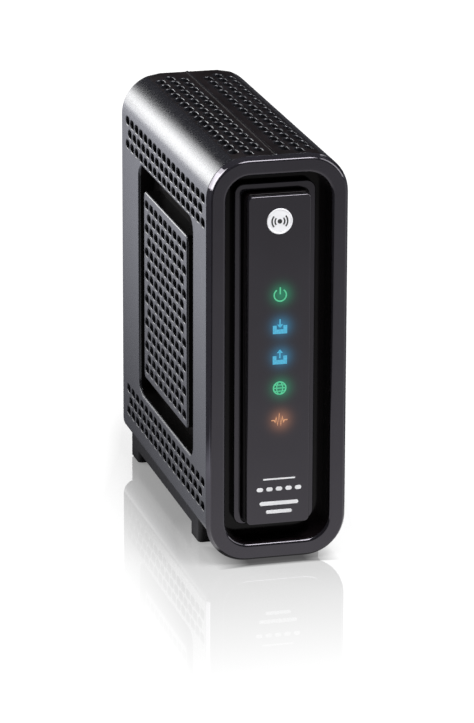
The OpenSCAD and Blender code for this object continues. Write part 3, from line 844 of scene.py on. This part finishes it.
def circle(cx, cz, radius, steps=32, squash=1.0):
    return arc(cx, cz, radius, 0, 360, steps, squash)[:-1]


LINE = 0.42
MARK_FRONT = LENS_Y - 0.06
MARK_BACK = LENS_Y + 0.05


def power_sign(cx, cz):
    return [("line", arc(cx, cz - 0.15, 1.95, 125, 415, 28), LINE),
            ("line", [(cx, cz + 2.35), (cx, cz + 0.1)], LINE)]


def tray_arrow(cx, cz, way):
    """Solid tray with a notch, and an arrow into it (way -1) or out of it (way +1)."""
    def block(x0, x1, z0, z1):
        return ("area", [(cx + x0, cz + z0), (cx + x1, cz + z0), (cx + x1, cz + z1), (cx + x0, cz + z1)])

    tray = [block(-2.3, 2.3, -2.3, -0.9), block(-2.3, -1.1, -0.9, 0.4), block(1.1, 2.3, -0.9, 0.4)]
    tip = cz - 0.45 if way < 0 else cz + 2.5
    tail = cz + 2.4 if way < 0 else cz - 0.35
    head = 1.15 * way
    return tray + [("line", [(cx, tail), (cx, tip - 0.3 * way)], LINE),
                   ("area", [(cx, tip), (cx - 0.95, tip - head), (cx + 0.95, tip - head)][::-way])]


def globe_sign(cx, cz):
    radius = 2.0
    shapes = [("loop", circle(cx, cz, radius), LINE), ("loop", circle(cx, cz, radius, 32, 0.48), LINE * 0.8)]
    shapes += [("line", [(cx - radius, cz), (cx + radius, cz)], LINE * 0.8)]
    for side in (-1, 1):
        level = cz + side * 1.0
        shapes.append(("line", [(cx - 1.75, level), (cx + 1.75, level)], LINE * 0.7))
    return shapes


def pulse_sign(cx, cz):
    heights = [0, 0, -0.55, 0.9, -1.5, 2.2, -1.6, 1.1, -0.6, 0, 0]
    widths = [-2.6, -1.7, -1.4, -1.05, -0.6, -0.1, 0.45, 0.9, 1.3, 1.65, 2.6]
    return [("line", [(cx + x, cz + z) for x, z in zip(widths, heights)], LINE * 0.8)]


SIGNS = (
    ("power_symbol", power_sign, (), "light_green"),
    ("receive_symbol", tray_arrow, (-1,), "light_blue"),
    ("send_symbol", tray_arrow, (1,), "light_blue"),
    ("online_symbol", globe_sign, (), "light_green"),
    ("activity_symbol", pulse_sign, (), "light_orange"),
)
for (sign_name, shape_of, extra, colour_slot), light_node, light_centre in zip(
        SIGNS, LIGHT_NODES, LIGHT_CENTRES):
    flat_mark(sign_name, shape_of(light_centre.x, light_centre.z, *extra), MARK_FRONT, MARK_BACK,
              colour_slot, (light_node,))


def make_badge():
    """Silver disc with a raised rim and a plain broadcast sign: a dot between arcs."""
    centre = (BADGE_LOW + BADGE_HIGH) / 2
    radius = (BADGE_HIGH.x - BADGE_LOW.x) / 2
    front = BADGE_LOW.y
    levels = ((radius, BADGE_HIGH.y), (radius, front + 0.12), (radius - 0.04, front + 0.04),
              (radius - 0.14, front), (radius - 0.34, front), (radius - 0.46, front + 0.1),
              (radius - 0.7, front + 0.12))
    rings = [[(x, y, z) for x, z in circle(centre.x, centre.z, r, 64)] for r, y in levels]
    piece = loft("badge_disc_skin", rings, ["badge_silver"], [0] * len(rings), False)
    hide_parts("badge_disc")
    sign = [("area", circle(centre.x, centre.z, 0.72, 24))]
    for reach in (1.55, 2.5):
        for start in (-42, 138):
            sign.append(("line", arc(centre.x, centre.z, reach, start, start + 84, 14), 0.46))
    flat_mark("badge_sign", sign, front + 0.06, front + 0.16, "mark_dark")


def make_plain_marks():
    """Plain dashes and bars low on the lens, where a maker would print a name."""
    shapes = []

    def bar(x, z, half, height):
        shapes.append(("area", rounded(x - half, x + half, z - height / 2, z + height / 2,
                                       height / 2 - 0.01)))

    middle, dash_pitch = 0.3, 3.1
    bar(middle, 27.6, 5.2, 0.5)
    for place in range(-2, 3):
        bar(middle + place * dash_pitch, 24.3, 1.05, 1.3)
    bar(middle, 19.6, 6.3, 1.25)
    bar(middle, 16.8, 4.2, 1.15)
    flat_mark("plain_bars", shapes, MARK_FRONT, MARK_BACK, "mark_white")


make_badge()
make_plain_marks()


# ---------------------------------------------------------------- sockets at the back

def make_coax_barrel():
    """Coaxial barrel with its fine thread, and the collar behind it."""
    low, high = box_mm("coax_body")
    centre = centre_mm("coax_contact")
    radius, collar, bore = 4.76, 5.0, 3.4
    pitch, cut_depth, chamfer = 0.794, 0.36, 0.3
    start, end = SHELL_HIGH.y, high.y
    collar_y = low.y + 12.2
    steps = int((end - start) / pitch * 8)
    around = 64

    def ring(y, radius_of):
        angles = [2 * pi * k / around for k in range(around)]
        return [(centre.x + radius_of(a) * cos(a), y, centre.z + radius_of(a) * sin(a)) for a in angles]

    def thread_ring(y):
        cut = cut_depth * max(0.0, min(1.0, (y - start) / 0.5, (end - y) / 0.3))
        lead_in = chamfer * (1 - min(1.0, (end - y) / 0.5))
        return ring(y, lambda a: radius - cut * abs(2 * ((y / pitch - a / (2 * pi)) % 1) - 1) - lead_in)

    rings = [ring(collar_y, lambda a: collar), ring(start - 0.1, lambda a: collar),
             ring(start, lambda a: collar - 0.12)]
    rings += [thread_ring(start + (end - start) * k / steps) for k in range(steps + 1)]
    rings += [ring(end, lambda a: bore + 0.2), ring(end - 0.2, lambda a: bore),
              ring(collar_y, lambda a: bore)]
    loft("coax_barrel", rings, ["coax_nickel"], [0] * len(rings), True)


make_coax_barrel()


# ---------------------------------------------------------------- soft edges of the other pieces

CARRIED = {
    "base_stand": 0.7, "rear_panel": 0.25, "left_recess_tray": 0.2, "right_recess_tray": 0.2,
    "network_jack_housing": 0.2, "power_jack_housing": 0.2, "rubber_feet": 0.25, "rating_label": 0.04,
    "base_screws": 0.12, "board_screws": 0.12, "heat_sink": 0.15, "main_chip": 0.1, "coax_body": 0.12,
    "tuner_shield_lid": 0.1, "capacitors": 0.5, "power_inductors": 0.4, "network_transformer": 0.3,
    "main_board": 0.1, "coax_insulator": 0.1, "memory_chip": 0.08, "flash_chip": 0.08, "crystal": 0.2,
    "reset_switch_body": 0.15, "reset_button": 0.2, "power_jack_pin": 0.25, "board_standoffs": 0.2,
    "light_guides": 0.2, "status_leds": 0.1, "coax_contact": 0.1,
}
for node_name, width in CARRIED.items():
    carried = frame["nodes"][node_name]
    soften = carried.modifiers.new("soft_edges", "BEVEL")
    soften.width = width * MM
    soften.segments = 3
    soften.limit_method = "ANGLE"
    soften.angle_limit = radians(40)
    soften.harden_normals = True


# ---------------------------------------------------------------- floor, light and camera

VIEW_SLANT = (0.257, 0.966)         # how far the view runs along x and y for each step on the floor
VIEW_TAN_X = 0.818                  # and how far it moves along x and y for each step down
VIEW_TAN_Y = 3.07
MIRROR_FAR = 130.0                  # the floor mirrors less and less up to this far along the view
FRONT_FAR = 117.6                   # and in front of the rim, where the fade starts behind the rim
FRONT_START = 45.0
# Painted light levels that glossy surfaces see in the floor in front, at places along y counted from the
# rim's front,
FRONT_GLOSS = ((-420, 0.62), (-300, 0.8), (-190, 0.92), (-95, 1.15), (-5, 1.45))
# and at the left, at places along x, lower close to the housing as painted shade; it dims towards the back of
# the housing by this share, also painted shade
LEFT_GLOSS = ((-260, 1.8), (-170, 1.6), (-112, 1.5), (-96, 1.15), (-84, 0.88), (-72, 0.72), (-59, 0.58),
              (-49, 0.56), (-22, 0.34), (20, 0.22))
REAR_DIMMING = 0.55
LEFT_TINT = (0.98, 0.99, 1.1)
GLOSS_TOP = 2.0                     # brightest level that glossy surfaces see
# share of the painted contact shadow under the rim
PAINTED_SHADOW_SHARE = 0.85


def floor_fade(nodes, place):
    """0 where the floor mirrors the housing fully, 1 where it is plain white."""
    slant_x, slant_y = VIEW_SLANT
    left = nodes.ramp(place["X"], -HALF_W, -HALF_W - MIRROR_FAR * slant_x)
    front = nodes.ramp(place["Y"], RIM_Y + FRONT_START, RIM_Y - FRONT_FAR)
    right_corner = HALF_W * slant_y - RIM_Y * slant_x
    right = nodes.ramp(nodes.along((slant_y, -slant_x, 0)), right_corner + 1, right_corner + 14)
    rear_corner = HALF_W * slant_y + SHELL_HIGH.y * slant_x
    rear = nodes.ramp(nodes.along((-slant_y, slant_x, 0)), rear_corner + 1, rear_corner + 10)
    return nodes.math("MAXIMUM", nodes.math("MAXIMUM", left, front), nodes.math("MAXIMUM", right, rear))


def painted_contact_shadow(nodes, place):
    """Share of the painted contact shadow under the low middle of the rim."""
    across = nodes.math("MINIMUM", nodes.ramp(place["X"], -20, -9), nodes.ramp(place["X"], 20, 9))
    deep = nodes.math("MINIMUM", nodes.ramp(place["Y"], RIM_Y - 3.2, RIM_Y - 0.8),
                      nodes.ramp(place["Y"], RIM_Y + 20, RIM_Y + 8))
    return nodes.math("MULTIPLY", nodes.math("MINIMUM", across, deep), PAINTED_SHADOW_SHARE)


def gloss_profile(nodes, source, levels, base, tint=(1, 1, 1)):
    """Colour along source, from (place past base, level) pairs."""
    node = nodes.tree.nodes.new("ShaderNodeValToRGB")
    stops = node.color_ramp.elements
    start, end = levels[0][0], levels[-1][0]
    for number, (place, level) in enumerate(levels):
        position = (place - start) / (end - start)
        stop = stops[number] if number < 2 else stops.new(position)
        stop.position = position
        stop.color = (*(level / GLOSS_TOP * part for part in tint), 1)
    nodes.feed(nodes.ramp(source, base + start, base + end), node.inputs["Fac"])
    return node.outputs["Color"]


def gloss_floor(nodes, place):
    """Painted light that glossy surfaces see in the floor: bright levels in front and beside, painted shade
    near and under the housing.
    """
    front = gloss_profile(nodes, place["Y"], FRONT_GLOSS, RIM_Y)
    left = gloss_profile(nodes, place["X"], LEFT_GLOSS, 0.0, LEFT_TINT)
    lean = VIEW_TAN_Y / VIEW_TAN_X      # a ray off the left side moves this far along y for each step along x
    to_rear = nodes.ramp(nodes.along((lean, 1, 0)), RIM_Y - lean * HALF_W, SHELL_HIGH.y - lean * HALF_W)
    left = nodes.mix(to_rear, left, (1 - REAR_DIMMING,) * 3, "MULTIPLY")
    seen = nodes.mix(nodes.ramp(place["Y"], RIM_Y, RIM_Y + 40), front, left)
    # The far left in front stays dark, so the leaning side of the rim looks dark too
    beside = RIM_Y - 2 * HALF_W
    clear = nodes.math("MAXIMUM", nodes.ramp(nodes.along((2, 1, 0)), beside - 30, beside),
                       nodes.ramp(place["X"], -140, -110))
    # Painted shade: glossy surfaces see the floor dim under the housing
    sides = nodes.math("MAXIMUM", nodes.ramp(place["X"], -HALF_W + 3, -HALF_W),
                       nodes.ramp(place["X"], HALF_W - 3, HALF_W))
    outside = nodes.math("MAXIMUM", sides, nodes.ramp(place["Y"], RIM_Y + 0.5, RIM_Y - 1.5))
    strength = nodes.range(nodes.math("MINIMUM", clear, outside), 0.1, GLOSS_TOP, 0.0, 1.0)
    return nodes.emission(seen, strength)


def make_floor():
    """White acrylic floor: it mirrors the housing close by, and fades to plain white further out. It carries
    a painted contact shadow under the rim, and painted light and shade that glossy surfaces see in it.
    """
    nodes = Nodes("floor_white")
    apart = nodes.tree.nodes.new("ShaderNodeSeparateXYZ")
    nodes.feed(nodes.place, apart.inputs["Vector"])
    nodes.set(Specular_IOR_Level=0.5, IOR=1.8, Emission_Color=(1, 1, 1), Emission_Strength=0.25,
              Base_Color=nodes.mix(nodes.noise(120.0, 2.0), (0.21, 0.21, 0.21), (0.22, 0.22, 0.22)),
              Roughness=nodes.range(nodes.noise(40.0, 3.0), 0.015, 0.025))
    acrylic = nodes.blend(floor_fade(nodes, apart.outputs), nodes.shader.outputs["BSDF"],
                          nodes.emission((1, 1, 1), 1.1))
    # Painted contact shadow: a near black glow blended into the floor under the low middle of the rim
    with_painted_shadow = nodes.blend(painted_contact_shadow(nodes, apart.outputs), acrylic,
                         nodes.emission((0.02, 0.018, 0.02), 1.0))
    glossy_ray = nodes.tree.nodes.new("ShaderNodeLightPath").outputs["Is Glossy Ray"]
    surface = nodes.blend(glossy_ray, with_painted_shadow, gloss_floor(nodes, apart.outputs))
    nodes.feed(surface, nodes.tree.nodes["Material Output"].inputs["Surface"])
    bpy.ops.mesh.primitive_grid_add(x_subdivisions=4, y_subdivisions=4, size=12)
    floor = bpy.context.object
    floor.name = "floor"
    floor.location.z = -0.0002
    floor.data.materials.append(nodes.material)
    return floor


def heading(azimuth, elevation):
    """Direction at the azimuth, in degrees from +y towards +x, and the elevation over the floor."""
    a, e = radians(azimuth), radians(elevation)
    return Vector((sin(a) * cos(e), cos(a) * cos(e), sin(e)))


def panel(name, aim_at, azimuth, elevation, distance, width, height, radiance, only=()):
    """Softbox that faces the point aim_at. only holds the objects it lights, if not all of them."""
    light = bpy.data.lights.new(name, "AREA")
    light.shape = "RECTANGLE"
    light.size = width
    light.size_y = height
    light.energy = radiance * pi * width * height
    lamp = bpy.data.objects.new(name, light)
    away = heading(azimuth, elevation)
    lamp.location = Vector(aim_at) + away * distance
    lamp.rotation_euler = away.to_track_quat("Z", "Y").to_euler()
    bpy.context.scene.collection.objects.link(lamp)
    if only:
        receivers = bpy.data.collections.new(name + "_receivers")
        for lit in only:
            receivers.objects.link(lit)
        lamp.light_linking.receiver_collection = receivers
    return lamp


def make_world():
    """Even grey surroundings, with a dark gap behind the housing."""
    world = bpy.data.worlds.new("studio")
    world.use_nodes = True
    tree = world.node_tree
    place = tree.nodes.new("ShaderNodeTexCoord")
    toward = tree.nodes.new("ShaderNodeVectorMath")
    toward.operation = "DOT_PRODUCT"
    toward.inputs[1].default_value = heading(5, 22)
    tree.links.new(place.outputs["Generated"], toward.inputs[0])
    level = tree.nodes.new("ShaderNodeMapRange")
    level.interpolation_type = "SMOOTHSTEP"
    level.inputs["From Min"].default_value = cos(radians(70))
    level.inputs["From Max"].default_value = cos(radians(40))
    level.inputs["To Min"].default_value = 0.5
    level.inputs["To Max"].default_value = 0.04
    tree.links.new(toward.outputs["Value"], level.inputs["Value"])
    tree.links.new(level.outputs["Result"], tree.nodes["Background"].inputs["Strength"])
    bpy.context.scene.world = world


def make_lights(floor):
    """Softboxes over the housing, and narrow ones for its top left corner, its left side and the rim."""
    make_world()
    top = (0, 0, SHELL_HIGH.z * MM)
    corner = (-HALF_W * MM, (RIM_Y + 25) * MM, (SHELL_HIGH.z - TOP_R / 2) * MM)
    panel("overhead", top, 152, 66, 1.1, 0.6, 0.55, 22)
    panel("corner", corner, -20, 9.5, 0.30, 0.08, 0.135, 4.9)
    panel("left_strip", top, -62, 22, 0.9, 0.45, 0.6, 7)
    panel("horizon", top, -22, 6, 3.0, 1.2, 0.5, 3.5, (left_skin, left_grille))
    panel("left_arc", top, -68, 28, 1.0, 0.95, 0.8, 13, (bezel,))
    panel("right_arc", top, 95, 28, 1.0, 1.0, 0.9, 5, (bezel, lens_cap))
    panel("backdrop", (0, 0, 0), 15, 22, 3.0, 2.4, 2.1, 2.2, (floor,))


def make_camera():
    """Camera in front, to the left and above, with a long lens."""
    yaw, pitch, roll = radians(14.909), radians(17.456), radians(0.192)
    camera = bpy.data.cameras.new("camera")
    camera.lens = 215.44
    camera.sensor_width = 36
    camera.clip_start = 0.05
    seat = bpy.data.objects.new("camera", camera)
    forward = Vector((sin(yaw) * cos(pitch), cos(yaw) * cos(pitch), -sin(pitch)))
    right = Vector((cos(yaw), -sin(yaw), 0))
    up = right.cross(forward)
    across = right * cos(roll) + up * sin(roll)
    upward = up * cos(roll) - right * sin(roll)
    turn = Matrix((across, upward, -forward)).transposed().to_4x4()
    place = Vector((-342.6, RIM_Y - 1236.7, 469.4)) * MM
    seat.matrix_world = Matrix.Translation(place) @ turn
    bpy.context.scene.collection.objects.link(seat)
    bpy.context.scene.camera = seat


make_lights(make_floor())
make_camera()
bpy.context.scene.view_settings.view_transform = "Standard"
